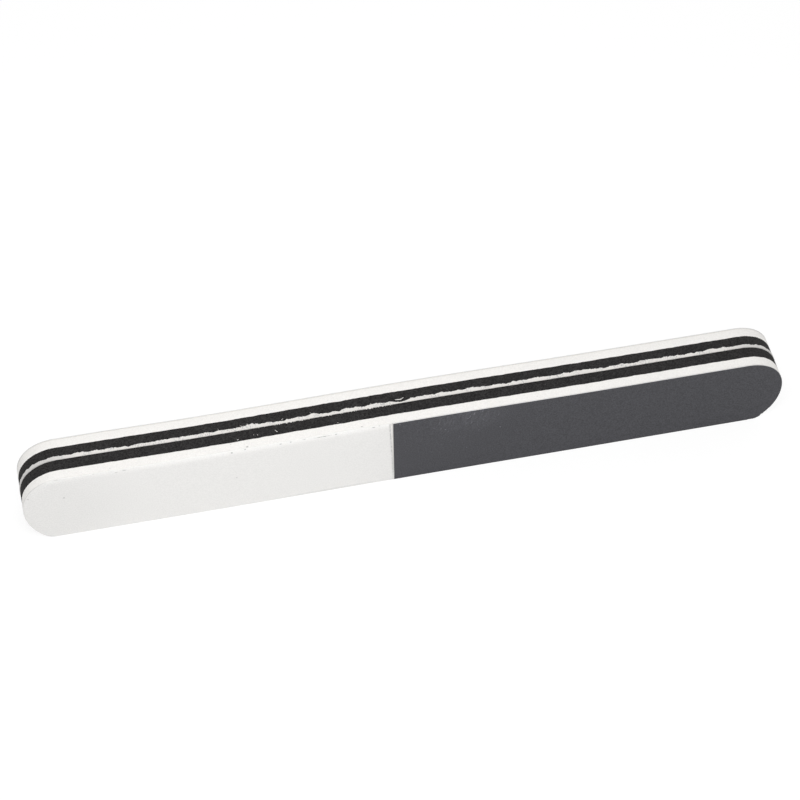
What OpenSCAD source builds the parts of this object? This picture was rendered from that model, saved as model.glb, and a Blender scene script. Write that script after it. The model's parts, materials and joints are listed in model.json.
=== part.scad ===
// Three-way nail buffer: a flat stick die-cut from one laminated board.
// A stiff plastic strip runs down the middle. On each side of it lie a black
// foam pad, a white foam pad and an abrasive sheet, with a film of glue
// between one layer and the next. The front face holds two sheets, dark and
// white, end to end. The back face holds one sheet for the final shine.
// The stick stands on its long edge: X runs along it towards the dark half,
// -Y is the front face, +Z is up across the width, and the origin is the
// middle of the edge that it stands on.

/* [Stick] */
// Length of the stick, from tip to tip
stick_len = 178; // [150:1:200]
// Width of the stick, across its working faces
stick_w = 20; // [19:0.5:24]
// Radius of the arc across each end
end_radius = 12.5; // [12:0.5:20]
// Radius of the two upper corners, which are soft
upper_corner_radius = 9; // [1:0.5:9]
// Radius of the two lower corners, which are crisper
lower_corner_radius = 3; // [1:0.5:9]

/* [Layers] */
// Thickness of the stiff plastic strip in the middle
core_t = 1; // [0.5:0.1:2]
// Thickness of each black foam pad
black_foam_t = 2.55; // [1:0.05:4]
// Thickness of each white foam pad
white_foam_t = 2.4; // [1:0.05:4]
// Thickness of the two sheets on the front face, which lie level
front_sheet_t = 0.25; // [0.1:0.05:0.6]
// Thickness of the shine sheet on the back face
shine_sheet_t = 0.25; // [0.1:0.05:0.6]
// Thickness of each film of glue
glue_t = 0.1; // [0.05:0.01:0.2]

/* [Front face] */
// Length of the dark sheet, measured from its own tip of the stick
dark_len = 93.1; // [60:0.1:120]
// Strip of bare foam between the dark sheet and the white one
sheet_gap = 0.5; // [0.2:0.1:3]

/* [Hidden] */

// Largest turn between two points of a round stretch, in degrees
arc_step = 5;
// How far a cutting shape runs past what it cuts
overrun = 2;

half_len = stick_len / 2;
half_w = stick_w / 2;

// Centre of the arc across the +X end
arc_x = half_len - end_radius;

// Edges of the two front sheets, at the joint between them
dark_edge_x = half_len - dark_len;
white_edge_x = dark_edge_x - sheet_gap;

// Front of every layer, from the front face to the back one
stick_t = core_t + front_sheet_t + shine_sheet_t + 2 * (black_foam_t + white_foam_t + 3 * glue_t);
front_sheet_y = -stick_t / 2;
front_sheet_glue_y = front_sheet_y + front_sheet_t;
front_white_foam_y = front_sheet_glue_y + glue_t;
front_foam_glue_y = front_white_foam_y + white_foam_t;
front_black_foam_y = front_foam_glue_y + glue_t;
front_core_glue_y = front_black_foam_y + black_foam_t;
core_y = front_core_glue_y + glue_t;
back_core_glue_y = core_y + core_t;
back_black_foam_y = back_core_glue_y + glue_t;
back_foam_glue_y = back_black_foam_y + black_foam_t;
back_white_foam_y = back_foam_glue_y + glue_t;
shine_sheet_glue_y = back_white_foam_y + white_foam_t;
shine_sheet_y = shine_sheet_glue_y + glue_t;

board_white = "#f1eee6";
glue_clear = "#e4dfd2";
foam_black = "#32312f";
foam_white = "#f8f8f4";
grit_dark = "#505053";
grit_white = "#ebeae8";
grit_shine = "#dcdcda";

// How far a corner's centre lies past the centre of the end arc, where the corner
// touches both the long edge and the end arc
function corner_past(radius) = sqrt(pow(end_radius - radius, 2) - pow(half_w - radius, 2));

// Direction, from the centre of the end arc, of the place where a corner passes into it
function corner_turn(radius) = atan2(half_w - radius, corner_past(radius));

// Points along an arc, with its last one left to the arc that follows
function arc(centre, radius, from, to) =
    let (steps = ceil(abs(to - from) / arc_step))
    [for (i = [0:steps - 1]) let (a = from + (to - from) * i / steps) centre + radius * [cos(a), sin(a)]];

upper_corner = [arc_x + corner_past(upper_corner_radius), half_w - upper_corner_radius];
lower_corner = [arc_x + corner_past(lower_corner_radius), lower_corner_radius - half_w];
upper_turn = corner_turn(upper_corner_radius);
lower_turn = corner_turn(lower_corner_radius);

// One end of the stick, from its upper edge round the tip to its lower edge
end_points = concat(
    arc(upper_corner, upper_corner_radius, 90, upper_turn),
    arc([arc_x, 0], end_radius, upper_turn, -lower_turn),
    arc(lower_corner, lower_corner_radius, -lower_turn, -90),
    [[lower_corner.x, -half_w]]
);
end_count = len(end_points);
other_end_points = [for (i = [1:end_count]) [-end_points[end_count - i].x, end_points[end_count - i].y]];

// Outline of the whole stick, seen on its working face
module stick_outline() {
    polygon(concat(end_points, other_end_points));
}

// The stretch of that outline between two places along the stick
module outline_between(from_x, to_x) {
    intersection() {
        stick_outline();
        translate([from_x, -half_w - overrun])
            square([to_x - from_x, stick_w + 2 * overrun]);
    }
}

// Stands an outline on edge as a layer whose front is at front_y
module layer(front_y, thickness) {
    translate([0, front_y + thickness, half_w])
        rotate([90, 0, 0])
            linear_extrude(height = thickness)
                children();
}

module dark_outline() {
    outline_between(dark_edge_x, half_len + overrun);
}

module white_outline() {
    outline_between(-half_len - overrun, white_edge_x);
}

// Stiff strip that keeps the stick straight
module core_board() {
    color(board_white)
        layer(core_y, core_t)
            stick_outline();
}

// Glue between the stiff strip and the black foam
module front_core_glue() {
    color(glue_clear)
        layer(front_core_glue_y, glue_t)
            stick_outline();
}

module back_core_glue() {
    color(glue_clear)
        layer(back_core_glue_y, glue_t)
            stick_outline();
}

// Firm foam next to the stiff strip
module front_black_foam() {
    color(foam_black)
        layer(front_black_foam_y, black_foam_t)
            stick_outline();
}

module back_black_foam() {
    color(foam_black)
        layer(back_black_foam_y, black_foam_t)
            stick_outline();
}

// Glue between the black foam and the white foam
module front_foam_glue() {
    color(glue_clear)
        layer(front_foam_glue_y, glue_t)
            stick_outline();
}

module back_foam_glue() {
    color(glue_clear)
        layer(back_foam_glue_y, glue_t)
            stick_outline();
}

// Soft foam under the sheets
module front_white_foam() {
    color(foam_white)
        layer(front_white_foam_y, white_foam_t)
            stick_outline();
}

module back_white_foam() {
    color(foam_white)
        layer(back_white_foam_y, white_foam_t)
            stick_outline();
}

// Glue under each sheet, cut together with it
module dark_sheet_glue() {
    color(glue_clear)
        layer(front_sheet_glue_y, glue_t)
            dark_outline();
}

module white_sheet_glue() {
    color(glue_clear)
        layer(front_sheet_glue_y, glue_t)
            white_outline();
}

module shine_sheet_glue() {
    color(glue_clear)
        layer(shine_sheet_glue_y, glue_t)
            stick_outline();
}

// The three working surfaces
module dark_sheet() {
    color(grit_dark)
        layer(front_sheet_y, front_sheet_t)
            dark_outline();
}

module white_sheet() {
    color(grit_white)
        layer(front_sheet_y, front_sheet_t)
            white_outline();
}

module shine_sheet() {
    color(grit_shine)
        layer(shine_sheet_y, shine_sheet_t)
            stick_outline();
}

core_board();
front_core_glue();
back_core_glue();
front_black_foam();
back_black_foam();
front_foam_glue();
back_foam_glue();
front_white_foam();
back_white_foam();
dark_sheet_glue();
white_sheet_glue();
shine_sheet_glue();
dark_sheet();
white_sheet();
shine_sheet();
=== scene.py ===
import json
import random
from math import cos, pi, radians, sin

import bmesh
import bpy
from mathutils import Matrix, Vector
from mathutils.bvhtree import BVHTree


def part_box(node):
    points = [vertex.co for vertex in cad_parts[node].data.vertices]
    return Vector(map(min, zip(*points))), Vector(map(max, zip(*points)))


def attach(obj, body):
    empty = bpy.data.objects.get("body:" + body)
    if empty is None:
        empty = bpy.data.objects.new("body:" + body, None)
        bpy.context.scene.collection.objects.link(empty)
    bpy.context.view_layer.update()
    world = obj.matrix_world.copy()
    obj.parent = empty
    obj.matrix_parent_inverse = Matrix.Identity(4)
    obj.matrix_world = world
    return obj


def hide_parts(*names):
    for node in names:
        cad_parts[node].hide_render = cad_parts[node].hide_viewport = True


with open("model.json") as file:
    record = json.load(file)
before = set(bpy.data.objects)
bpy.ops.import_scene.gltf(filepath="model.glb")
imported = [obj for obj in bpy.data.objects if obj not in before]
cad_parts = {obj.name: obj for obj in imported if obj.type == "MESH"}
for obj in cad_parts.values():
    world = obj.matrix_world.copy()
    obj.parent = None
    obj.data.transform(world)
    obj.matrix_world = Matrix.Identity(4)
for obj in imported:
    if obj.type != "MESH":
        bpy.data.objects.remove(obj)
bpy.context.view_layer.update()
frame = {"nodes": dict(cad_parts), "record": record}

mm = 0.001
front, back = -1, 1  # which way a face looks along Y
same = 0.001 * mm  # places closer than this are one
edgeSlack = 0.02  # mm, a point this close to the cut edge lies on it

print("Camera")

photoView = {
    "lens": 100.87,  # mm, on a sensor 36 mm wide
    "sensor": 36,
    "place": (-76.6, -321.58, 408.5),  # mm
    "turn": (40.4302, -0.4923, -12.5499),  # degrees
}
bpy.ops.object.camera_add(
    location=[v * mm for v in photoView["place"]],
    rotation=[radians(v) for v in photoView["turn"]],
)
camera = bpy.context.object
camera.data.sensor_fit = "HORIZONTAL"
camera.data.sensor_width = photoView["sensor"]
camera.data.lens = photoView["lens"]
camera.data.clip_start = 10 * mm
bpy.context.scene.camera = camera

# Lowest and highest corner of every layer, from the frame
corners = {node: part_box(node) for node in frame["nodes"]}
stripLow, stripHigh = corners["core_board"]
middleY = (stripLow.y + stripHigh.y) / 2
topZ = stripHigh.z
darkEdgeX = corners["dark_sheet"][0].x
whiteEdgeX = corners["white_sheet"][1].x


# Faces of the stick's cut edge, taken from the middle strip, which has the full outline
def cutEdgeTree():
    mesh = frame["nodes"]["core_board"].data
    places = [v.co.copy() for v in mesh.vertices]
    sides = [list(p.vertices) for p in mesh.polygons if abs(p.normal.y) < 0.5]
    return BVHTree.FromPolygons(places, sides)


cutEdge = cutEdgeTree()


# How far a point lies from the cut edge, seen on the working face
def edgeDistance(point):
    return cutEdge.find_nearest(Vector((point.x, middleY, point.z)))[3]


def onCutEdge(point):
    return edgeDistance(point) < edgeSlack * mm


def clamped(value):
    return min(max(value, 0), 1)


def mix(low, high, share):
    return low + (high - low) * clamped(share)


# An empty that flattens Y for a texture, so that layers that touch are moved alike
bpy.ops.object.empty_add()
alongEdge = bpy.context.object
alongEdge.scale = (1, 1000, 1)
bpy.context.view_layer.update()


def editMesh(piece):
    bpy.ops.object.select_all(action="DESELECT")
    bpy.context.view_layer.objects.active = piece
    piece.select_set(True)
    bpy.ops.object.mode_set(mode="EDIT")
    bpy.ops.mesh.select_all(action="DESELECT")


def leaveMesh():
    bpy.ops.object.mode_set(mode="OBJECT")


# Selects what passes the test and nothing else
def pick(piece, kind, test):
    bpy.ops.mesh.select_mode(type=kind)
    bpy.ops.mesh.select_all(action="DESELECT")
    mesh = bmesh.from_edit_mesh(piece.data)
    for item in {"VERT": mesh.verts, "EDGE": mesh.edges, "FACE": mesh.faces}[kind]:
        if test(item):
            item.select_set(True)
    mesh.select_flush_mode()
    bmesh.update_edit_mesh(piece.data, loop_triangles=False, destructive=False)


# A new piece that starts as the flat front or back of a CAD node, left in edit mode
def startFrom(node, name, side):
    piece = bpy.data.objects.new(name, frame["nodes"][node].data.copy())
    piece.data.materials.clear()
    bpy.context.collection.objects.link(piece)
    editMesh(piece)
    bpy.ops.mesh.select_all(action="SELECT")
    bpy.ops.mesh.remove_doubles(threshold=same)
    bpy.ops.mesh.dissolve_limited(angle_limit=radians(0.5))
    pick(piece, "FACE", lambda f: f.normal.y * side < 0.9)
    bpy.ops.mesh.delete(type="FACE")
    return piece


# Divides the outline evenly, then eases the corners between the short straights of its arcs
def refineOutline(piece, spacing):
    mostCuts = 100
    roundLength = 19  # mm, a little more than the round stretch at each end
    while True:
        mesh = bmesh.from_edit_mesh(piece.data)
        longest = max(e.calc_length() for e in mesh.edges)
        parts = min(round(longest / (spacing * mm)), mostCuts)
        if parts < 2:
            break
        pick(piece, "EDGE", lambda e: e.calc_length() > 0.99 * longest)
        bpy.ops.mesh.subdivide(number_cuts=parts - 1)
    roundFrom = stripHigh.x - roundLength * mm
    pick(piece, "VERT", lambda v: abs(v.co.x) > roundFrom and same < v.co.z < topZ - same)
    bpy.ops.mesh.vertices_smooth(factor=0.5, repeat=10)


# Rings at these distances in from the outline
def insetRings(piece, distances):
    pick(piece, "FACE", lambda f: True)
    reached = 0
    for distance in distances:
        bpy.ops.mesh.inset(thickness=(distance - reached) * mm, depth=0, use_even_offset=True)
        reached = distance


# Cuts straight across a flat patch, so that it can follow the bow
def crossCuts():
    reach, step = 80, 5  # mm
    for x in range(-reach, reach + 1, step):
        bpy.ops.mesh.select_all(action="SELECT")
        bpy.ops.mesh.bisect(plane_co=(x * mm, 0, 0), plane_no=(1, 0, 0))


# Cuts a flat patch back from its outline
def trimPatch(piece, width):
    insetRings(piece, [width])
    bpy.ops.mesh.select_all(action="INVERT")
    bpy.ops.mesh.delete(type="FACE")


# Gives a flat patch its thickness, away from the side that it looks to
def thicken(piece, side, thickness, rows=1):
    bpy.ops.mesh.select_all(action="SELECT")
    bpy.ops.mesh.extrude_region_move(TRANSFORM_OT_translate={"value": (0, -side * thickness, 0)})
    if rows > 1:
        pick(piece, "EDGE", lambda e: abs(e.verts[0].co.y - e.verts[1].co.y) > thickness / 2)
        bpy.ops.mesh.subdivide(number_cuts=rows - 1)
    bpy.ops.mesh.select_all(action="SELECT")
    bpy.ops.mesh.normals_make_consistent(inside=False)


# Bevels the rims between the cut edge and the flat faces
def softenRims(piece, width):
    def isRim(edge):
        tilts = sorted(abs(f.normal.y) for f in edge.link_faces)
        return len(tilts) == 2 and tilts[0] < 0.5 and tilts[1] > 0.9

    pick(piece, "EDGE", isRim)
    bpy.ops.mesh.bevel(offset=width * mm, offset_type="OFFSET", segments=1)


# A vertex group whose weights come from the place of each point
def weigh(piece, share):
    group = piece.vertex_groups.new(name="share")
    for vertex in piece.data.vertices:
        weight = share(vertex.co)
        if weight > 0:
            group.add([vertex.index], min(weight, 1), "REPLACE")
    return group.name


def applyModifier(piece, kind, **settings):
    bpy.ops.object.select_all(action="DESELECT")
    bpy.context.view_layer.objects.active = piece
    piece.select_set(True)
    modifier = piece.modifiers.new(kind.title(), kind)
    for name, value in settings.items():
        setattr(modifier, name, value)
    bpy.ops.object.modifier_apply(modifier=modifier.name)


# Moves points by up to depth where share says so, with noise of this grain size where one is given
def push(piece, share, depth, direction="Y", grain=None, level=0.5, kind="CLOUDS", across=False):
    settings = {"direction": direction, "mid_level": 0, "strength": depth * mm}
    if grain:
        texture = bpy.data.textures.new("grain", kind)
        texture.noise_scale = grain * mm
        settings.update(texture=texture, mid_level=level, texture_coords="LOCAL")
        if not across:
            settings.update(texture_coords="OBJECT", texture_coords_object=alongEdge)
    applyModifier(piece, "DISPLACE", vertex_group=weigh(piece, share), **settings)


# The stick isn't quite straight: places along it and how far it lies towards the back there, in mm
bow = [(-89, 0.1), (-74, 0.03), (-48, -0.2), (3, 0.22), (50, -0.06), (89, -0.08)]
bowMost = 0.25  # mm, more than any of them
bowBelow = 0.3  # share of the bow that the lower edge has
# The knife leaned as it cut the ends, so that the cut runs further out at the back face
endLean = {
    "reach": 12.5,  # mm, in from the tip
    "dark": 0.4,  # mm, at the back of the dark tip
    "white": 0.15,  # mm, at the back of the white tip
    "front": 0.25,  # share of it at the front face
    "height": (0.2, 0.6),  # shares of the stick's height between which it comes in
}


# The value at a place along the stick, between the values listed for some places
def valueAlong(values, point):
    for (x0, value0), (x1, value1) in zip(values, values[1:]):
        if point.x < x1 * mm:
            break
    share = clamped((point.x / mm - x0) / (x1 - x0))
    return value0 + (value1 - value0) * (1 - cos(pi * share)) / 2


def bowShare(point, sign):
    kept = bowBelow + (1 - bowBelow) * point.z / topZ
    return sign * kept * valueAlong(bow, point) / bowMost


def leanShare(point, sign):
    out = max((sign * point.x - stripHigh.x) / (endLean["reach"] * mm) + 1, 0)
    frontY = corners["dark_sheet"][0].y
    backY = corners["shine_sheet"][1].y
    through = (point.y - frontY) / (backY - frontY)
    low, high = endLean["height"]
    upper = clamped((point.z / topZ - low) / (high - low))
    return out * upper * (endLean["front"] + (1 - endLean["front"]) * through)


def finishPiece(piece, smooth=30):
    for sign in (1, -1):
        push(piece, lambda point: bowShare(point, sign), sign * bowMost)
        lean = endLean["dark" if sign > 0 else "white"]
        push(piece, lambda point: leanShare(point, sign), sign * lean, direction="X")
    piece.vertex_groups.clear()
    bpy.ops.object.select_all(action="DESELECT")
    bpy.context.view_layer.objects.active = piece
    piece.select_set(True)
    bpy.ops.object.shade_smooth_by_angle(angle=radians(smooth))
    return piece


print("How the stick was squeezed and torn as it was cut")

# The sheets roll over along the cut edge. Depths are at the cut edge, widths in from it, in mm
roll = {
    "white": (0.3, 1.9),
    "dark": (0.04, 0.9),
    "back": (0.03, 0.9),
    "turns": 2.8,  # how late the roll bends down, 1 for a straight slope
    # Share of the white half's depth at some places along it
    "shares": [(-89, 0.9), (-82, 0.7), (-75, 0.3), (-48, 1)],
    "joint": 3,  # mm, how far from the joint the white half begins to lose its roll
    "lower": 0.1,  # share of the roll that the lower edge has
    "height": (0.2, 0.7),  # shares of the stick's height between which the rest comes in
    "rings": (0.12, 0.26, 0.42, 0.6, 0.8, 1.0, 1.25, 1.55, 1.9),
}
# The boundaries between the layers wander a little, because foam drags under the knife. All in mm
wander = {
    "grain": 2.4,
    "depth": 0.24,
    "fineGrain": 0.7,
    "fineDepth": 0.1,
    "steady": 0.6,  # to either side of the stick's middle, where they stay straight
}
# The plastic strip tears towards the back, and drags the black foam along
tear = {
    "from": -0.2,  # mm along Y, where the pull begins
    "fades": 1.2,  # mm past the strip, where it ends
    "waves": [(6.5, 0.35), (3.2, 0.4), (1.6, 0.4)],  # mm, grain and depth
    "spotDepth": 1,  # mm, how far down from the upper edge the spots reach
    # Places along the upper edge where the strip is thicker or thinner, in mm: x, half length, reach
    "spots": [
        (-74.5, 3, 0.38),
        (-70, 2, -0.2),
        (-64, 2.8, -0.32),
        (-57.5, 3, -0.17),
        (-35.7, 2.8, 0.6),
        (-29, 3, -0.22),
        (-21.8, 1.4, 0.15),
        (-19.7, 1.6, -0.3),
        (-17.5, 4, -0.32),
        (-14, 1.5, 0.15),
        (-8.2, 1.6, 0.3),
        (-5.2, 2.4, -0.22),
        (-1.8, 3, -0.66),
        (8, 2.4, 0.2),
        (15, 1.6, 0.2),
        (23.5, 4, -0.24),
        (27.2, 1.5, 0.17),
        (30.8, 3.8, 0.32),
        (35.2, 1.5, 0.15),
        (40, 4.5, 0.22),
        (47, 1.6, -0.2),
        (56.6, 3, 0.26),
        (66, 3, -0.12),
        (72.5, 2.5, 0.18),
    ],
}


# Depth of the roll at a place on a face, in mm
def rollDepth(point, side):
    depth, width = roll["back"]
    if side == front:
        toDark = (point.x - whiteEdgeX) / (roll["joint"] * mm) + 1
        depth = mix(roll["white"][0], roll["dark"][0], toDark)
        width = mix(roll["white"][1], roll["dark"][1], toDark)
        depth *= valueAlong(roll["shares"], point)
    low, high = roll["height"]
    depth *= mix(roll["lower"], 1, (point.z / topZ - low) / (high - low))
    return depth * max(1 - edgeDistance(point) / (width * mm), 0) ** roll["turns"]


# Sinks a layer along the cut edge. A pad's outer face sinks most and its inner face not at all
def rollOver(piece, side, outerY=None, thickness=None):
    deepest = max(roll[place][0] for place in ("white", "dark", "back"))

    def share(point):
        kept = 1 - abs(point.y - outerY) / thickness if thickness else 1
        return rollDepth(point, side) * kept / deepest

    push(piece, share, -side * deepest)


def wanderLayers(piece):
    outer = corners["back_white_foam"][1].y
    inner = corners["back_black_foam"][1].y

    def share(point):
        reach = abs(point.y)
        return min((outer - reach) / (outer - inner), (reach - wander["steady"] * mm) / mm)

    push(piece, share, wander["depth"], grain=wander["grain"])
    push(piece, share, wander["fineDepth"], grain=wander["fineGrain"])


def tearShare(point):
    start = tear["from"] * mm
    pulled = clamped((point.y - start) / (stripHigh.y - start))
    beyond = point.y - corners["back_core_glue"][1].y
    return pulled * min(1, max(1 - beyond / (tear["fades"] * mm), 0))


def tearLayers(piece, share=tearShare):
    most = max(abs(reach) for _, _, reach in tear["spots"])

    def spotShare(sign, point):
        pull = 0
        for place, half, reach in tear["spots"]:
            off = (point.x / mm - place) / half
            if reach * sign > 0 and abs(off) < 1 and point.z > topZ - tear["spotDepth"] * mm:
                pull = max(pull, abs(reach) / most * (1 - off * off) ** 2)
        return pull * share(point)

    for grain, depth in tear["waves"]:
        push(piece, share, depth, grain=grain)
    for sign in (1, -1):
        push(piece, lambda point: spotShare(sign, point), sign * most)


print("Foam pads")

pads = {
    "spacing": 0.25,  # mm between points round the cut edge
    "rows": 11,  # of faces through each pad
    "rim": 0.05,  # mm, the soft corner that the knife leaves
    "poreGrain": 0.4,  # mm
    "poreDepth": 0.035,  # mm
    "poreReach": 0.03,  # mm, how far behind the sagged edge a point may lie and still have pores
    "sags": 0.05,  # mm, how far the cut edge lies behind the outline where two layers meet
    "sagTurns": 6,  # the higher, the closer to its rims a pad sags
    # How far the knife drags a pad's front and back rims over the layer beside it, in mm
    "drag": {"front_black_foam": (0.12, 0.38), "back_black_foam": (0, 0.28)},
    "dragReach": 0.3,  # mm in from the cut edge
    "dragTurns": 4,  # the higher, the closer to its rims a pad is dragged
    "blackRings": (0.6, 0.8),  # mm, of the pads that don't roll over
    "gapRise": 0.1,  # mm, how far the foam swells into the gap between the front sheets
    # Foam left past the dark sheet's lower corner: x, z, reach and depth in mm
    "tag": (84.7, 0.7, 1.3, 0.75),
}
# The two front sheets were laid by hand, so their edges are off a little, in mm along X: at the
# middle of the stick's width, and how much further at its upper edge
laid = {"dark": (-0.17, -0.18), "white": (0, -0.45)}


# The place and direction of a front sheet's edge at the joint
def jointPlane(kind):
    edgeX = darkEdgeX if kind == "dark" else whiteEdgeX
    shift, lean = laid[kind]
    normal = Vector((1, 0, -lean * mm / (topZ / 2))).normalized()
    return Vector((edgeX + shift * mm, 0, topZ / 2)), normal


# Raises the foam between the two front sheets
def fillGap(piece):
    for kind in ("dark", "white"):
        place, normal = jointPlane(kind)
        bpy.ops.mesh.select_all(action="SELECT")
        bpy.ops.mesh.bisect(plane_co=place, plane_no=normal)
    sides = [jointPlane(kind) for kind in ("white", "dark")]

    def between(face):
        middle = face.calc_center_median()
        past = [(middle - place).dot(normal) for place, normal in sides]
        return past[0] > 0 > past[1] and face.normal.y < -0.9

    pick(piece, "FACE", between)
    bpy.ops.mesh.extrude_region_move(TRANSFORM_OT_translate={"value": (0, -pads["gapRise"] * mm, 0)})


def makePad(node, side):
    low, high = corners[node]
    thickness = high.y - low.y
    outerY = low.y if side == front else high.y
    rolled = "white" in node
    piece = startFrom(node, node + "_pad", side)
    refineOutline(piece, pads["spacing"])
    insetRings(piece, roll["rings"] if rolled else pads["blackRings"])
    crossCuts()
    thicken(piece, side, thickness, pads["rows"])
    softenRims(piece, pads["rim"])
    if node == "front_white_foam":
        fillGap(piece)
    leaveMesh()

    # -1 at the front of the pad, 1 at its back
    def through(point):
        return (point.y - (low.y + high.y) / 2) / (thickness / 2)

    def dragged(point, towards):
        near = max(1 - edgeDistance(point) / (pads["dragReach"] * mm), 0)
        return max(towards * through(point), 0) ** pads["dragTurns"] * near

    def nearRims(point):
        return onCutEdge(point) * through(point) ** pads["sagTurns"]

    def hasPores(point):
        return edgeDistance(point) < (pads["sags"] + pads["poreReach"]) * mm

    push(piece, nearRims, -pads["sags"], direction="NORMAL")
    for towards, depth in zip((front, back), pads["drag"].get(node, (0, 0))):
        if depth:
            push(piece, lambda point: dragged(point, towards), towards * depth)
    if rolled:
        rollOver(piece, side, outerY, thickness)
    if node == "front_white_foam":
        x, z, reach, depth = pads["tag"]
        root = Vector((x * mm, low.y, z * mm))

        def nearTag(point):
            return onCutEdge(point) * max(1 - (point - root).length / (reach * mm), 0)

        push(piece, nearTag, depth, direction="NORMAL")
    wanderLayers(piece)
    if node == "back_black_foam":
        tearLayers(piece)
    push(
        piece,
        hasPores,
        pads["poreDepth"],
        direction="NORMAL",
        grain=pads["poreGrain"],
        level=1,
        kind="VORONOI",
        across=True,
    )
    return finishPiece(piece)


padSides = {
    "front_white_foam": front,
    "front_black_foam": front,
    "back_black_foam": back,
    "back_white_foam": back,
}
padPieces = {node: makePad(node, side) for node, side in padSides.items()}

print("Plastic strip with its torn lip")

strip = {
    "spacing": 0.14,  # mm between points round the cut edge
    "rows": 8,
    "coveredRows": 2,  # rows under the front foam that the knife dragged over them
    "covered": 0.15,  # mm, how far they lie behind the cut edge
    "bead": 0.05,  # mm, how far the torn edge stands proud
    "lip": 0.12,  # mm, how far it hangs over the foam
    "lipSteps": 4,
    "lipPull": 10,  # how much more firmly the lip is pulled along than the foam behind it
    "fringe": [(0.8, 0.26), (0.3, 0.22)],  # mm, grain and depth
    "lumpGrain": 0.6,
    "lumpDepth": 0.035,
    "pressed": 0.2,  # what is left of the bead's height where the stick stands on it
}
bits = {
    # Crumbs and slivers on the foam, in mm: x, y, length, width, height, and their turn in degrees
    "crumbs": [
        (-39.5, -2.85, 0.5, 0.14, 0.1, 5),
        (-34.9, -2.4, 0.2, 0.16, 0.1, 40),
        (-35.8, -2.2, 0.2, 0.1, 0.06, 60),
        (-30.7, -2.1, 0.7, 0.09, 0.08, -55),
        (-30.5, -2.4, 0.34, 0.2, 0.12, -30),
        (-16.6, -2.9, 0.16, 0.1, 0.08, 0),
        (-28.7, 0.85, 0.6, 0.1, 0.08, 35),
        (-1.9, 0.8, 1.4, 0.24, 0.12, -4),
        (-0.9, 0.95, 1.0, 0.18, 0.12, 22),
        (-1.4, 0.7, 0.8, 0.14, 0.1, -14),
    ],
    "rough": 0.015,  # mm
    "raised": 0.25,  # how far a crumb's middle lies above the foam, as a share of its height
    # Hairs that stand out from the torn lip: x, how many, and their length in mm
    "hairs": [
        (-38.2, 3, 0.75),
        (-36.8, 3, 0.45),
        (-34.6, 2, 0.4),
        (-43.5, 1, 0.6),
        (-21.6, 2, 0.6),
        (-8.5, 1, 0.6),
    ],
    "spread": 0.5,  # mm, how far to either side of its place a hair may stand
    "smallHairs": 14,
    "smallLength": 0.3,
    "bare": 18,  # mm, the stretch at each tip without small hairs
    "hairWidth": 0.08,
    "shortest": 0.6,  # share of its length that a hair has at least
    "turn": 55,  # degrees to either side
    "rise": 0.4,  # how steeply a hair may stand up
    "rootDepth": 0.1,  # mm, how deep it is rooted
    "rootReach": (0.2, 0.1),  # mm, how far its root may lie from its place, along the edge and down
}


def addBits(piece):
    chance = random.Random(11)
    aside, down = bits["rootReach"]
    lipPoints = [v.co.copy() for v in piece.data.vertices if v.co.z > topZ - down * mm]
    editMesh(piece)
    for number, (x, y, length, width, height, turn) in enumerate(bits["crumbs"]):
        bpy.ops.mesh.primitive_ico_sphere_add(
            subdivisions=2,
            radius=0.5 * mm,  # so that the scale is the crumb's size in mm
            location=(x * mm, y * mm, topZ + bits["raised"] * height * mm),
            rotation=(0, 0, radians(turn)),
            scale=(length, width, height),
        )
        bpy.ops.transform.vertex_random(offset=bits["rough"] * mm, seed=number)
        bpy.ops.mesh.select_all(action="DESELECT")
    hairs = [(x, length) for x, count, length in bits["hairs"] for _ in range(count)]
    reach = stripHigh.x / mm - bits["bare"]
    for _ in range(bits["smallHairs"]):
        hairs.append((chance.uniform(-reach, reach), bits["smallLength"]))
    for x, longest in hairs:
        x += chance.uniform(-bits["spread"], bits["spread"]) if longest > bits["smallLength"] else 0
        root = max((p for p in lipPoints if abs(p.x - x * mm) < aside * mm), key=lambda p: p.y)
        turn = radians(chance.uniform(-bits["turn"], bits["turn"]))
        length = longest * chance.uniform(bits["shortest"], 1)
        lie = Vector((sin(turn), cos(turn), chance.uniform(0, bits["rise"]))).normalized()
        bpy.ops.mesh.primitive_cone_add(
            vertices=5,
            radius1=bits["hairWidth"] / 2 * mm,
            radius2=bits["hairWidth"] / 8 * mm,
            depth=length * mm,
            location=root + lie * (length / 2 - bits["rootDepth"]) * mm,
            rotation=lie.to_track_quat("Z", "Y").to_euler(),
        )
        bpy.ops.mesh.select_all(action="DESELECT")
    leaveMesh()


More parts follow.
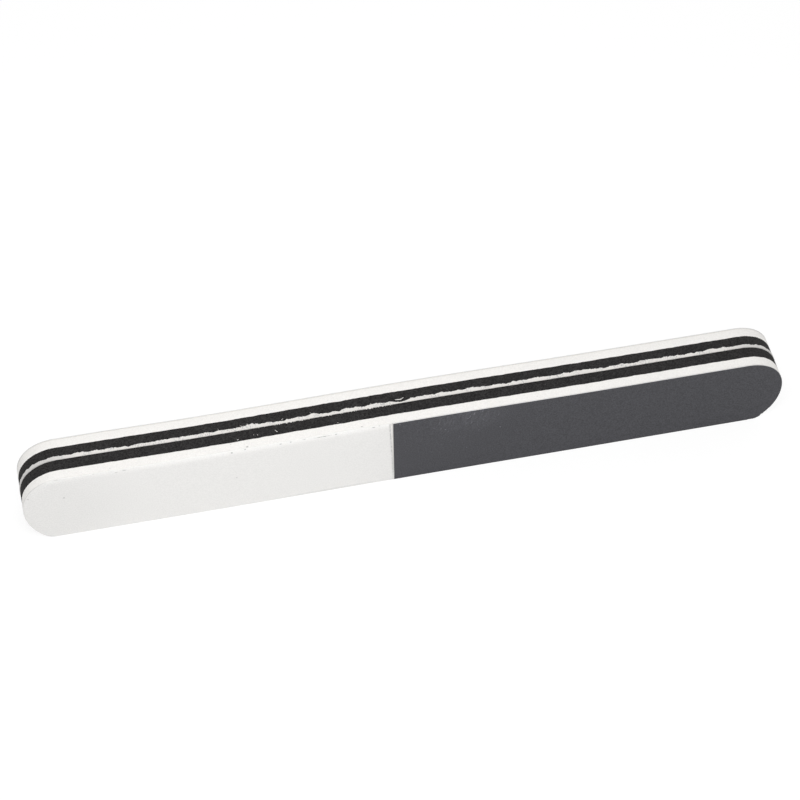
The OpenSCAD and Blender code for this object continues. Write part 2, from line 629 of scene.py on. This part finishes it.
def makeStrip():
    piece = startFrom("core_board", "core_strip", front)
    refineOutline(piece, strip["spacing"])
    insetRings(piece, [tear["fades"]])
    crossCuts()
    thicken(piece, front, stripHigh.y - stripLow.y, strip["rows"])
    bead = strip["bead"] * mm
    rowHeight = (stripHigh.y - stripLow.y) / strip["rows"]
    bareY = stripLow.y + strip["coveredRows"] * rowHeight
    pick(piece, "FACE", lambda f: abs(f.normal.y) < 0.5 and f.calc_center_median().y > bareY)
    bpy.ops.mesh.extrude_region_shrink_fatten(TRANSFORM_OT_shrink_fatten={"value": bead})
    # The lip grows from the back of the bead
    beadBack = 0.9 * bead
    pick(piece, "FACE", lambda f: f.normal.y > 0.9 and edgeDistance(f.calc_center_median()) < beadBack)
    step = strip["lip"] / strip["lipSteps"] * mm
    for _ in range(strip["lipSteps"]):
        bpy.ops.mesh.extrude_region_move(TRANSFORM_OT_translate={"value": (0, step, 0)})
    leaveMesh()

    def isCovered(point):
        return onCutEdge(point) and point.y < bareY + rowHeight / 4

    def fringeShare(point):
        return (point.y - stripHigh.y + step) / (strip["lip"] * mm)

    def lipShare(point):
        share = tearShare(point)
        return min(share * strip["lipPull"], 1) if point.y > stripHigh.y else share

    def isLump(point):
        return edgeDistance(point) > bead / 2 and bareY + rowHeight / 2 < point.y < stripHigh.y

    push(piece, isCovered, -strip["covered"], direction="NORMAL")
    for grain, depth in strip["fringe"]:
        push(piece, fringeShare, depth, grain=grain)
    tearLayers(piece, lipShare)
    push(piece, isLump, strip["lumpDepth"], direction="NORMAL", grain=strip["lumpGrain"], across=True)
    editMesh(piece)
    pick(piece, "VERT", lambda v: v.co.z < 0)
    bpy.ops.transform.resize(value=(1, 1, strip["pressed"]), center_override=(0, 0, 0))
    leaveMesh()
    addBits(piece)
    return finishPiece(piece, smooth=50)


stripPiece = makeStrip()

print("Sheets and glue")

sheets = {
    "spacing": 0.3,  # mm between points round the outline
    "rim": 0.03,
    "glueBack": 0.1,  # mm, how far the glue lies behind the cut edge
    # Where the dark sheet falls short at its lower corner: x, z, reach and depth in mm
    "chip": (84.6, 1.6, 3.2, 0.4),
}


# A layer as one patch of the whole outline, with rings for the roll, at that layer's outer face
def layerPatch(node, side, trim=0):
    outline = "shine_sheet" if side == back else "core_board"
    piece = startFrom(outline, node + "_film", side)
    outerY = corners[node][0 if side == front else 1].y
    startY = corners[outline][0 if side == front else 1].y
    bpy.ops.mesh.select_all(action="SELECT")
    bpy.ops.transform.translate(value=(0, outerY - startY, 0))
    refineOutline(piece, sheets["spacing"])
    if trim:
        trimPatch(piece, trim)
    insetRings(piece, roll["rings"])
    crossCuts()
    return piece


# Cuts a front sheet, or its glue, along the joint, which leans a little
def cutAtJoint(piece, node):
    kind = node.split("_")[0]
    place, normal = jointPlane(kind)
    bpy.ops.mesh.select_all(action="SELECT")
    bpy.ops.mesh.bisect(
        plane_co=place,
        plane_no=normal,
        clear_inner=kind == "dark",
        clear_outer=kind == "white",
    )


def makeSheet(node, side):
    low, high = corners[node]
    piece = layerPatch(node, side)
    if side == front:
        cutAtJoint(piece, node)
    thicken(piece, side, high.y - low.y)
    softenRims(piece, sheets["rim"])
    leaveMesh()
    if node == "dark_sheet":
        x, z, reach, depth = sheets["chip"]
        middle = Vector((x * mm, low.y, z * mm))

        def isChipped(point):
            off = (Vector((point.x, low.y, point.z)) - middle).length / (reach * mm)
            onRim = edgeDistance(point) < (sheets["rim"] + edgeSlack) * mm
            return onRim * max(1 - off * off, 0)

        push(piece, isChipped, -depth, direction="NORMAL")
    rollOver(piece, side)
    # Only the outer side carries grit. The film shows where it was cut
    for polygon in piece.data.polygons:
        polygon.material_index = 0 if polygon.normal.y * side > 0.8 else 1
    return finishPiece(piece)


def makeGlue(node, side):
    low, high = corners[node]
    piece = layerPatch(node, side, sheets["glueBack"])
    if node in ("dark_sheet_glue", "white_sheet_glue"):
        cutAtJoint(piece, node)
    thicken(piece, side, high.y - low.y)
    leaveMesh()
    if "sheet" in node:
        rollOver(piece, side)
    else:
        wanderLayers(piece)
    if node == "back_core_glue":
        tearLayers(piece)
    return finishPiece(piece)


sheetSides = {"dark_sheet": front, "white_sheet": front, "shine_sheet": back}
glueSides = {node + "_glue": side for node, side in sheetSides.items()}
for layer in ("core_glue", "foam_glue"):
    glueSides["front_" + layer] = front
    glueSides["back_" + layer] = back
sheetPieces = {node: makeSheet(node, side) for node, side in sheetSides.items()}
gluePieces = {node: makeGlue(node, side) for node, side in glueSides.items()}
bpy.data.objects.remove(alongEdge)

print("Materials")


# sRGB hex to the linear colour that Blender works in
def linear(hexColour):
    parts = [int(hexColour[i : i + 2], 16) / 255 for i in (1, 3, 5)]
    return [p / 12.92 if p <= 0.04045 else ((p + 0.055) / 1.055) ** 2.4 for p in parts] + [1]


# Adds a node with its settings, the values of its inputs and the sockets that feed it
def addNode(tree, kind, settings={}, values={}, links={}):
    node = tree.nodes.new(kind)
    for name, value in settings.items():
        setattr(node, name, value)
    for name, value in values.items():
        node.inputs[name].default_value = value
    for name, socket in links.items():
        tree.links.new(socket, node.inputs[name])
    return node


adds = {"operation": "ADD"}
subtracts = {"operation": "SUBTRACT"}
multiplies = {"operation": "MULTIPLY"}


# A new material, its node tree and shader, and the socket that gives the place on the object
def startMaterial(name):
    material = bpy.data.materials.new(name)
    material.use_nodes = True
    tree = material.node_tree
    shader = tree.nodes["Principled BSDF"]
    place = addNode(tree, "ShaderNodeTexCoord").outputs["Object"]
    return material, tree, shader, place


# A value that wanders between low and high from grain to grain. The noise mostly lies from 0.3 to 0.7
def wanders(tree, place, grain, low, high, detail=2):
    size = {"Scale": 1 / (grain * mm), "Detail": detail}
    noise = addNode(tree, "ShaderNodeTexNoise", values=size, links={0: place})
    spread = {"From Min": 0.3, "From Max": 0.7, "To Min": low, "To Max": high}
    return addNode(tree, "ShaderNodeMapRange", values=spread, links={0: noise.outputs["Fac"]}).outputs[0]


# A value that is 1 + gain on rare small specks with soft edges, and 1 elsewhere
def specks(tree, place, spacing, radius, rare, gain):
    cells = addNode(tree, "ShaderNodeTexVoronoi", values={"Scale": 1 / (spacing * mm)}, links={0: place})
    share = radius / spacing
    edge = {"From Min": 0.6 * share, "From Max": 1.2 * share, "To Min": gain, "To Max": 0}
    spot = addNode(tree, "ShaderNodeMapRange", values=edge, links={0: cells.outputs["Distance"]})
    chosen = {"From Min": rare, "From Max": rare + 0.05}
    shown = addNode(tree, "ShaderNodeMapRange", values=chosen, links={0: cells.outputs["Color"]})
    links = {0: spot.outputs[0], 1: shown.outputs[0]}
    return addNode(tree, "ShaderNodeMath", {"operation": "MULTIPLY_ADD"}, {2: 1}, links).outputs[0]


# Paints the shader with a colour times all these values
def paint(tree, shader, colour, tones):
    total = tones[0]
    for tone in tones[1:]:
        total = addNode(tree, "ShaderNodeMath", multiplies, {}, {0: total, 1: tone}).outputs[0]
    base = addNode(
        tree,
        "ShaderNodeMix",
        {"data_type": "RGBA", "blend_type": "MULTIPLY"},
        {"Factor": 1, 6: linear(colour)},
        {7: total},
    )
    tree.links.new(base.outputs[2], shader.inputs["Base Color"])


def roughen(tree, shader, height, depth, strength):
    values = {"Strength": strength, "Distance": depth * mm}
    bump = addNode(tree, "ShaderNodeBump", values=values, links={"Height": height})
    tree.links.new(bump.outputs["Normal"], shader.inputs["Normal"])


foam = {
    "cell": 0.2,  # mm
    "cellDepth": 0.05,  # mm
    "drawnCell": 0.3,  # mm, coarser than the cells, so that their unevenness shows
    "patch": 3,  # mm, of the slower unevenness
    "roughness": 0.9,
    # Nicks in the front white foam, seen on the upper edge: x, y, half length, half width, how dark
    "nicks": [
        (-41.3, -3.95, 0.2, 0.15, 0.3),
        (-37.8, -5.4, 0.3, 0.2, 0.5),
        (-11.5, -5.05, 0.3, 0.15, 0.4),
    ],
}


# Closed-cell EVA foam, cut with a knife: matt, with open cells, a dusty, uneven tone and stray crumbs.
# Crumbs are given by their spacing, radius, how rare they are and how much paler
def foamMaterial(name, colour, tone, crumbs, specular, nicks=None):
    material, tree, shader, place = startMaterial(name)
    tones = [
        wanders(tree, place, foam["drawnCell"], 1 - tone, 1 + tone, 4),
        wanders(tree, place, foam["patch"], 1 - tone / 6, 1 + tone / 6),
        specks(tree, place, *crumbs),
    ]
    if nicks:
        tones.append(marks(tree, place, nicks, wanders(tree, place, 0.3, 0.5, 1.3), acrossEdge=True))
    paint(tree, shader, colour, tones)
    shader.inputs["Roughness"].default_value = foam["roughness"]
    shader.inputs["Specular IOR Level"].default_value = specular
    cell = {"Scale": 1 / (foam["cell"] * mm)}
    cells = addNode(tree, "ShaderNodeTexVoronoi", values=cell, links={0: place})
    roughen(tree, shader, cells.outputs["Distance"], foam["cellDepth"], strength=0.5)
    return material


# Marks on a face: x, z, half length and half height in mm, and how dark, broken up by a pattern.
# Below zero they are paler. Across the upper edge y stands for z
def marks(tree, place, places, broken, acrossEdge=False):
    total = None
    length = {"operation": "LENGTH"}
    for x, z, long, high, strength in places:
        scale = [1 / (long * mm), 0, 1 / (high * mm)]
        shift = [-x / long, 0, -z / high]
        if acrossEdge:
            scale[1:], shift[1:] = scale[:0:-1], shift[:0:-1]
        laidOver = {"Location": shift, "Scale": scale}
        near = addNode(tree, "ShaderNodeMapping", values=laidOver, links={0: place}).outputs[0]
        off = addNode(tree, "ShaderNodeVectorMath", length, {}, {0: near}).outputs["Value"]
        edge = {"From Min": 0.5, "From Max": 1.2, "To Min": strength, "To Max": 0}
        mark = addNode(tree, "ShaderNodeMapRange", values=edge, links={0: off}).outputs[0]
        if total:
            mark = addNode(tree, "ShaderNodeMath", adds, {}, {0: total, 1: mark}).outputs[0]
        total = mark
    drawn = addNode(tree, "ShaderNodeMath", multiplies, {}, {0: total, 1: broken}).outputs[0]
    return addNode(tree, "ShaderNodeMath", subtracts, {0: 1}, {1: drawn}).outputs[0]


# Fine grit bonded to film: matt, with a tone that flickers from grain to grain
def gritMaterial(name, colour, grain, tone, roughness, specular, strength):
    material, tree, shader, place = startMaterial(name)
    grit = wanders(tree, place, grain, 1 - tone, 1 + tone)
    shader.inputs["Roughness"].default_value = roughness
    shader.inputs["Specular IOR Level"].default_value = specular
    roughen(tree, shader, grit, depth=0.03, strength=strength)
    return material, tree, shader, place, grit


# Silicon carbide: dark grey, slightly blue, with painted glints and a pale haze where it has rubbed
def darkGrit(name, colour):
    look = {"grain": 0.28, "tone": 0.26, "roughness": 0.7, "specular": 0.35, "strength": 0.5}
    material, tree, shader, place, grit = gritMaterial(name, colour, **look)
    height = addNode(tree, "ShaderNodeSeparateXYZ", links={0: place}).outputs["Z"]
    # A little paler all over, and more so towards the lower edge
    paleBelow = {"From Min": 0, "From Max": topZ, "To Min": 1.075, "To Max": 1.04}
    paleShift = addNode(tree, "ShaderNodeMapRange", values=paleBelow, links={0: height}).outputs[0]
    # The rub marks lean to the dark tip
    leaning = addNode(
        tree,
        "ShaderNodeMapping",
        {"vector_type": "TEXTURE"},
        {"Rotation": (0, radians(20), 0), "Scale": (1, 1, 4)},
        {0: place},
    ).outputs[0]
    paleZone = [(13.5, 18, 9, 4.5, -0.18), (8, 14, 9, 9, -0.03)]
    haze = marks(tree, place, paleZone, wanders(tree, leaning, 0.4, 0, 1.6))
    # Painted glints: bright specks painted into the colour, where grains are bared in the haze
    glintPlaces = [(14.5, 17.5, 8.5, 4.5, -0.05), (10, 14, 11, 7, -0.015)]
    glintSpecks = specks(tree, leaning, spacing=0.55, radius=0.15, rare=0.45, gain=18)
    paintedSparkle = marks(tree, place, glintPlaces, glintSpecks)
    # Painted glints: rarer bright specks painted all over the face
    paintedGlints = specks(tree, place, spacing=1.3, radius=0.17, rare=0.58, gain=1.2)
    paint(tree, shader, colour, [grit, paleShift, haze, paintedSparkle, paintedGlints])
    return material


# Aluminium oxide on white film: a painted highlight along its rolled upper edge, nicks and dust along
# its edges, painted shade in the joint and a painted contact shadow along its lower edge
def whiteGrit(name, colour):
    look = {"grain": 0.3, "tone": 0.038, "roughness": 0.7, "specular": 0.3, "strength": 0.3}
    material, tree, shader, place, grit = gritMaterial(name, colour, **look)
    # Nicks, a broad darker patch at the white tip, and a painted shadow along the lower edge
    nicks = [
        (-87.5, 14.7, 0.25, 0.2, 0.3),
        (-80.7, 19.8, 0.6, 0.15, 0.3),
        (-79.6, 13.4, 0.3, 0.22, 0.35),
        (-72.4, 19.9, 0.3, 0.15, 0.2),
        (-67.4, 19.2, 0.35, 0.14, 0.3),
        (-65.6, 19.5, 0.6, 0.12, 0.35),
        (-41.4, 19.5, 0.22, 0.2, 0.6),
        (-40.7, 10.5, 0.18, 0.22, 0.3),
        (-38.4, 19.8, 0.25, 0.18, 0.45),
        (-30.3, 19.6, 0.35, 0.13, 0.35),
        (-27.9, 19.65, 0.3, 0.15, 0.45),
        (-24.9, 19.75, 0.5, 0.1, 0.3),
        (-20.8, 19.6, 2.0, 0.11, 0.45),
        (-17.6, 19.6, 0.3, 0.13, 0.35),
        (-8.9, 19.7, 0.4, 0.15, 0.4),
        (-7.6, 19.85, 0.25, 0.14, 0.3),
        # Painted contact shadow: a grey line along the lower edge, where the stick stands on the floor
        (-18, 0.4, 14, 0.3, 0.12),
        (-86, 9, 20, 22, 0.05),
    ]
    marksAndShade = marks(tree, place, nicks, wanders(tree, place, 0.35, 0.3, 1.4))
    # The grey line along the joint: dust that sticks to the cut film, and painted shade of the gap
    # beside it
    edge, normal = jointPlane("white")
    edgeAt = edge.dot(normal)
    begins, full = 0.5, 0.1  # mm before the edge
    across = {"operation": "DOT_PRODUCT"}
    past = addNode(tree, "ShaderNodeVectorMath", across, {1: normal}, {0: place}).outputs["Value"]
    width = {"From Min": edgeAt - begins * mm, "From Max": edgeAt - full * mm}
    atEdge = addNode(tree, "ShaderNodeMapRange", values=width, links={0: past}).outputs[0]
    height = addNode(tree, "ShaderNodeSeparateXYZ", links={0: place}).outputs["Z"]
    # Painted highlight: paler over the rolled band at the upper edge, where the roll tilts up to the
    # light
    foldWidth = roll["white"][1] * mm
    paleZone = {"From Min": topZ - foldWidth, "From Max": topZ, "To Min": 1, "To Max": 1.06}
    eased = {"interpolation_type": "SMOOTHSTEP"}
    paintedFoldLight = addNode(tree, "ShaderNodeMapRange", eased, paleZone, {0: height}).outputs[0]
    fades = {"From Min": 0, "From Max": topZ, "To Min": 0.22, "To Max": 0.4}
    fade = addNode(tree, "ShaderNodeMapRange", values=fades, links={0: height}).outputs[0]
    line = addNode(tree, "ShaderNodeMath", multiplies, {}, {0: atEdge, 1: fade}).outputs[0]
    broken = wanders(tree, place, 0.5, 0.4, 1.4)
    drawn = addNode(tree, "ShaderNodeMath", multiplies, {}, {0: line, 1: broken}).outputs[0]
    jointDustAndShade = addNode(tree, "ShaderNodeMath", subtracts, {0: 1}, {1: drawn}).outputs[0]
    paint(tree, shader, colour, [grit, marksAndShade, jointDustAndShade, paintedFoldLight])
    return material


# Polishing film: the finest grit of the three, with a faint sheen
def shineGrit(name, colour):
    look = {"grain": 0.2, "tone": 0.012, "roughness": 0.4, "specular": 0.5, "strength": 0.1}
    material, tree, shader, place, grit = gritMaterial(name, colour, **look)
    paint(tree, shader, colour, [grit, wanders(tree, place, 9, 0.985, 1.015)])
    return material


# Polyester film where the knife cut it: pale, slightly glossy, and whiter by a given share
# everywhere but at the white tip
def filmMaterial(name, colour, whiterBy):
    begins, full = 3, 8  # mm from the white tip
    material, tree, shader, place = startMaterial(name)
    shader.inputs["Roughness"].default_value = 0.45
    along = addNode(tree, "ShaderNodeSeparateXYZ", links={0: place}).outputs["X"]
    tip = {"From Min": stripLow.x + begins * mm, "From Max": stripLow.x + full * mm}
    paleAwayFromTip = {**tip, "To Min": 1, "To Max": whiterBy}
    paleShift = addNode(tree, "ShaderNodeMapRange", values=paleAwayFromTip, links={0: along}).outputs[0]
    paint(tree, shader, colour, [wanders(tree, place, 0.5, 0.96, 1.04), paleShift])
    return material


# Polystyrene sheet, torn by the knife: creamy, with whitened stress marks, painted shade in its torn
# hollows, and greyer round the ends
def stripMaterial(name, colour, greyTone):
    material, tree, shader, place = startMaterial(name)
    pulled = {"Scale": (1, 0.35, 0.6)}
    stretched = addNode(tree, "ShaderNodeMapping", values=pulled, links={0: place}).outputs[0]
    # Painted shade: grey mixed into the colour in the torn hollows
    hollowShade = wanders(tree, stretched, 0.25, -1.3, 1.2, 3)
    # Only some stretches have hollows
    stretches = wanders(tree, place, 3, -0.8, 1.3)
    lesser, greater = {"operation": "MINIMUM"}, {"operation": "MAXIMUM"}
    tornShade = addNode(tree, "ShaderNodeMath", lesser, {}, {0: hollowShade, 1: stretches}).outputs[0]
    # Greyer round the ends
    begins, full = 14, 8  # mm from each tip
    along = addNode(tree, "ShaderNodeSeparateXYZ", links={0: place}).outputs["X"]
    reach = addNode(tree, "ShaderNodeMath", {"operation": "ABSOLUTE"}, links={0: along}).outputs[0]
    tips = {"From Min": stripHigh.x - begins * mm, "From Max": stripHigh.x - full * mm, "To Max": 0.35}
    greyerEnds = addNode(tree, "ShaderNodeMapRange", values=tips, links={0: reach}).outputs[0]
    mask = addNode(tree, "ShaderNodeMath", greater, {}, {0: tornShade, 1: greyerEnds}).outputs[0]
    tones = {6: linear(colour), 7: linear(greyTone)}
    base = addNode(tree, "ShaderNodeMix", {"data_type": "RGBA"}, tones, {"Factor": mask})
    shader.inputs["Roughness"].default_value = 0.6
    shader.inputs["IOR"].default_value = 1.59
    tree.links.new(base.outputs[2], shader.inputs["Base Color"])
    return material


# Acrylic glue film, seen from its edge: pale and slightly yellow, smeared glossy here and dull there
def glueMaterial(name, colour):
    material, tree, shader, place = startMaterial(name)
    tree.links.new(wanders(tree, place, 4, 0.25, 0.5), shader.inputs["Roughness"])
    shader.inputs["Base Color"].default_value = linear(colour)
    shader.inputs["IOR"].default_value = 1.47
    return material


blackCrumbs = (1.4, 0.11, 0.55, 2.5)
whiteCrumbs = (2.2, 0.14, 0.6, -0.25)
materials = {
    "black_foam": foamMaterial("blackEvaFoam", "#2b2a2a", 0.7, blackCrumbs, specular=0.2),
    "white_foam": foamMaterial("whiteEvaFoam", "#f4f2ef", 0.055, whiteCrumbs, 0.3, foam["nicks"]),
    "dark_abrasive": darkGrit("siliconCarbideFilm", "#46464a"),
    "white_abrasive": whiteGrit("whiteAluminaFilm", "#ecebe9"),
    "shine_abrasive": shineGrit("greyPolishingFilm", "#dcdcda"),
    "board_plastic": stripMaterial("tornPolystyrene", "#e6e3df", "#a8a7a9"),
    "glue_film": glueMaterial("acrylicGlue", "#e6e2d9"),
}
cutFilm = {
    "dark_sheet": filmMaterial("polyesterFilmEdge", "#e0e0df", 1),
    "white_sheet": filmMaterial("paleFilmEdge", "#dad9d7", 1.28),
}
cutFilm["shine_sheet"] = cutFilm["dark_sheet"]

slotOf = {part["node"]: part["material_slot"] for part in frame["record"]["subparts"]}
stickPieces = {**padPieces, **sheetPieces, **gluePieces, "core_board": stripPiece}
for node, piece in stickPieces.items():
    piece.data.materials.append(materials[slotOf[node]])
    if node in cutFilm:
        piece.data.materials.append(cutFilm[node])
    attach(piece, "root")
    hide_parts(node)

print("Light and floor")

studio = {
    "skyAbove": 0.24,  # brightness of the sky overhead
    "skyLow": 0.93,  # and at the horizon and below
    "skyRight": 0.2,  # more towards +X
    "skyBehind": 0.3,  # more towards +Y
    "keyPower": 0.54,  # W
    "keyPlace": (-45, -135, 290),  # mm
    "keySize": 200,  # mm
    "floorReach": 3000,  # mm
    "floorBelow": 0.02,  # mm, so that it doesn't flicker against the stick
    "floorTone": "#efefef",
    "floorGlow": 1.06,  # keeps the floor pure white in the picture
    "shadowKept": 0.2,  # share of the shadow that the camera sees
}
bpy.ops.object.light_add(type="AREA", location=[v * mm for v in studio["keyPlace"]])
key = bpy.context.object
key.data.energy = studio["keyPower"]
key.data.size = studio["keySize"] * mm
key.rotation_euler = (-key.location).to_track_quat("-Z", "Y").to_euler()

world = bpy.data.worlds.new("studioSky")
world.use_nodes = True
bpy.context.scene.world = world
sky = world.node_tree
towards = addNode(sky, "ShaderNodeTexCoord").outputs["Generated"]
parts = addNode(sky, "ShaderNodeSeparateXYZ", links={0: towards})
low = {"To Min": studio["skyLow"], "To Max": studio["skyAbove"]}
light = addNode(sky, "ShaderNodeMapRange", values=low, links={0: parts.outputs["Z"]}).outputs[0]
for axis, more in (("X", studio["skyRight"]), ("Y", studio["skyBehind"])):
    links = {0: parts.outputs[axis]}
    side = addNode(sky, "ShaderNodeMapRange", values={"To Max": more}, links=links).outputs[0]
    light = addNode(sky, "ShaderNodeMath", adds, {}, {0: light, 1: side}).outputs[0]
rays = addNode(sky, "ShaderNodeLightPath")
links = {"Value": rays.outputs["Is Camera Ray"], "To Min": light}
seen = addNode(sky, "ShaderNodeMapRange", values={"To Max": 1}, links=links)
sky.links.new(seen.outputs["Result"], sky.nodes["Background"].inputs["Strength"])
sky.nodes["Background"].inputs["Color"].default_value = (1, 1, 1, 1)

bpy.ops.mesh.primitive_plane_add(
    size=2 * studio["floorReach"] * mm,
    location=(0, 0, -studio["floorBelow"] * mm),
)
floor = bpy.context.object
floor.name = "floor"
floorPaper, tree, shader, _ = startMaterial("whiteSweepPaper")
shader.inputs["Base Color"].default_value = linear(studio["floorTone"])
shader.inputs["Roughness"].default_value = 1
shader.inputs["Specular IOR Level"].default_value = 0
rays = addNode(tree, "ShaderNodeLightPath")
glow = addNode(tree, "ShaderNodeEmission", values={"Strength": studio["floorGlow"]})
lit = addNode(tree, "ShaderNodeBsdfDiffuse", values={"Color": (1, 1, 1, 1)})
seenFloor = addNode(tree, "ShaderNodeMixShader", values={"Fac": studio["shadowKept"]})
tree.links.new(glow.outputs[0], seenFloor.inputs[1])
tree.links.new(lit.outputs[0], seenFloor.inputs[2])
ground = addNode(tree, "ShaderNodeMixShader", links={"Fac": rays.outputs["Is Camera Ray"]})
tree.links.new(shader.outputs[0], ground.inputs[1])
tree.links.new(seenFloor.outputs[0], ground.inputs[2])
tree.links.new(ground.outputs[0], tree.nodes["Material Output"].inputs["Surface"])
floor.data.materials.append(floorPaper)

bpy.context.scene.view_settings.view_transform = "Standard"
